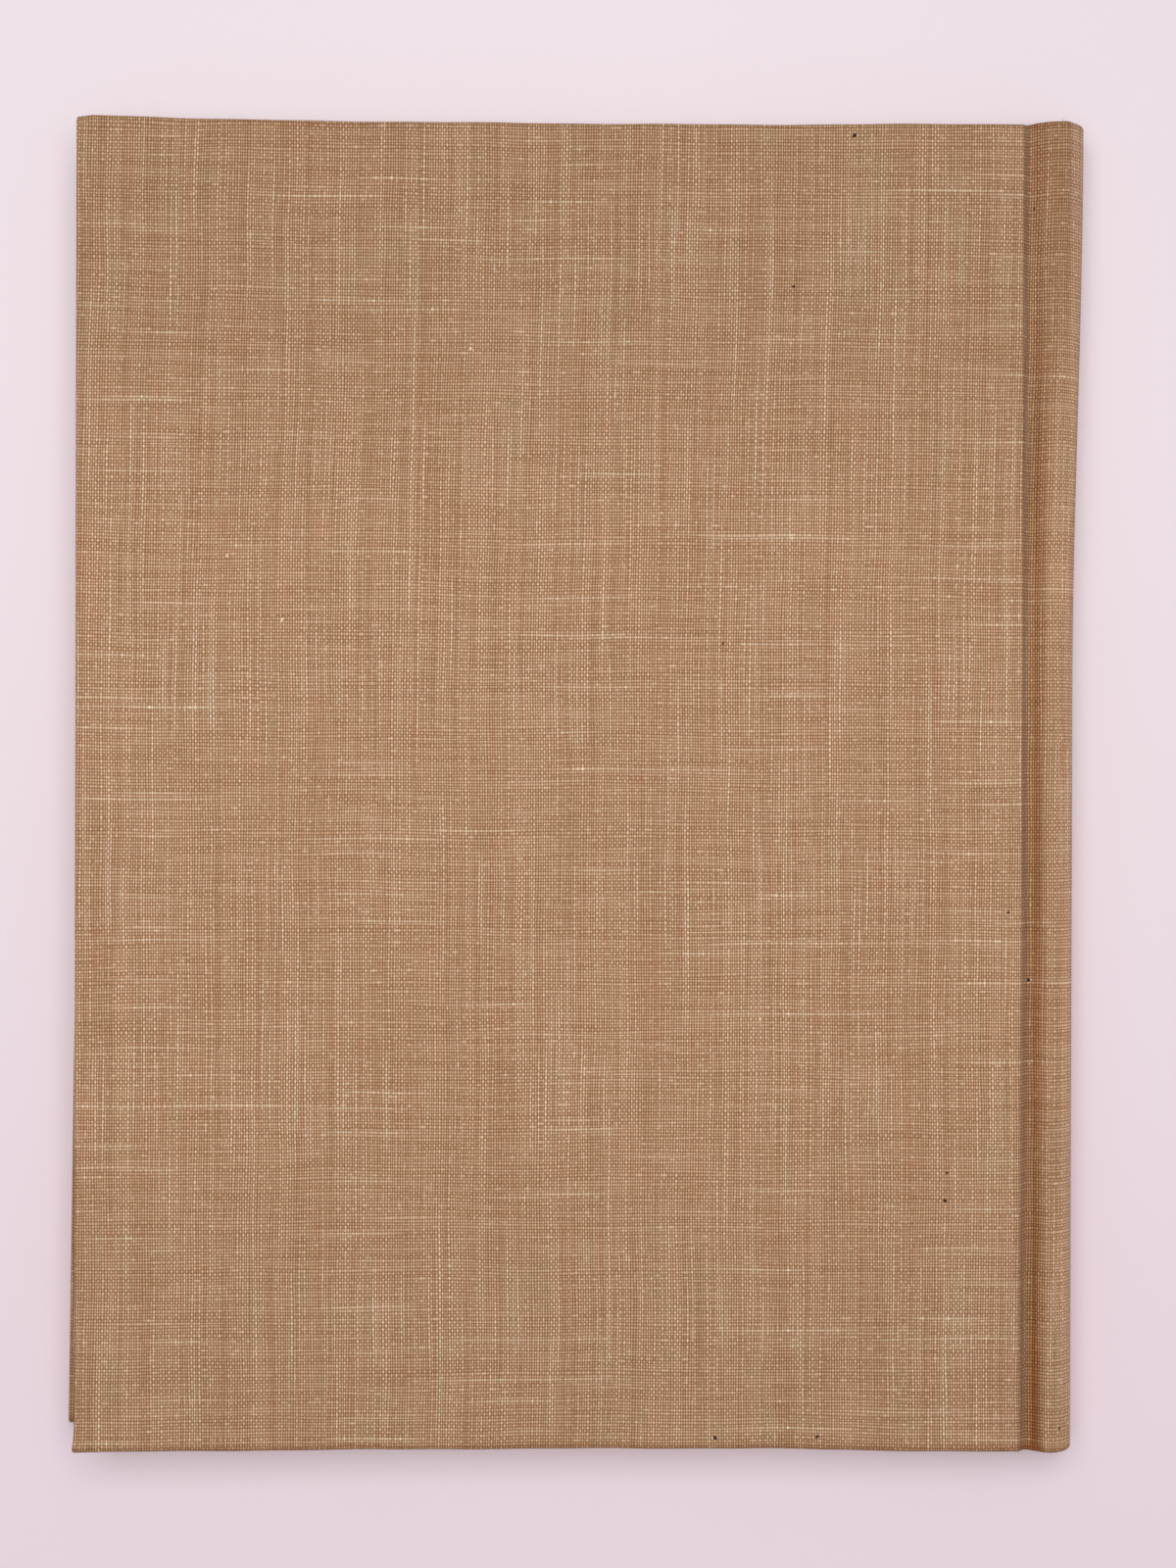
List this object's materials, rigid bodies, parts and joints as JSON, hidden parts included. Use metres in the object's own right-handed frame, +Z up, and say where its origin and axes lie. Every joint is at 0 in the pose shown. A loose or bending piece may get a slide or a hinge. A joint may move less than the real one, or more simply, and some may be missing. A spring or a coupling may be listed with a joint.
{
  "type": "hardback book",
  "caption": "Cloth-bound hardback book lying flat, with hinged covers, a rounded hollow spine, sewn leaves, headbands and endpapers.",
  "frame": {"origin": "centre of the book's outline, on the surface that it lies on", "axes": "+X from the fore-edge to the spine, +Y from the tail to the head, +Z up from the front cover to the back cover"},
  "size_m": [0.223, 0.2892, 0.0186],
  "materials": {
    "bookcloth": "matt plain-weave linen",
    "greyboard": "matt pulp board",
    "leaves": "matt uncoated, cut edges",
    "endpaper": "matt uncoated",
    "mull": "matt open gauze",
    "kraft": "matt brown kraft",
    "headband": "matt corded cotton"
  },
  "bodies": {
    "book_block": {"text_block": "leaves", "front_free_endpaper": "endpaper", "back_free_endpaper": "endpaper", "spine_mull": "mull", "spine_lining": "kraft", "head_band": "headband", "tail_band": "headband", "spine_inlay": "kraft", "spine_cloth": "bookcloth", "front_joint_lining": "mull", "back_joint_lining": "mull", "front_joint_cloth": "bookcloth", "back_joint_cloth": "bookcloth"},
    "front_cover": {"front_board": "greyboard", "front_cover_cloth": "bookcloth", "front_pastedown": "endpaper"},
    "back_cover": {"back_board": "greyboard", "back_cover_cloth": "bookcloth", "back_pastedown": "endpaper"}
  },
  "joints": [
    {"name": "back_cover_hinge", "type": "hinge", "parent": "book_block", "child": "back_cover", "pos_m": [0.10442, 0, 0.01295], "axis": [0, 1, 0], "range_deg": [0, 180], "deforming": ["back_joint_cloth", "back_joint_lining"]},
    {"name": "front_cover_hinge", "type": "hinge", "parent": "book_block", "child": "front_cover", "pos_m": [0.10442, 0, 0.00325], "axis": [0, -1, 0], "range_deg": [0, 180], "deforming": ["front_joint_cloth", "front_joint_lining"]}
  ]
}
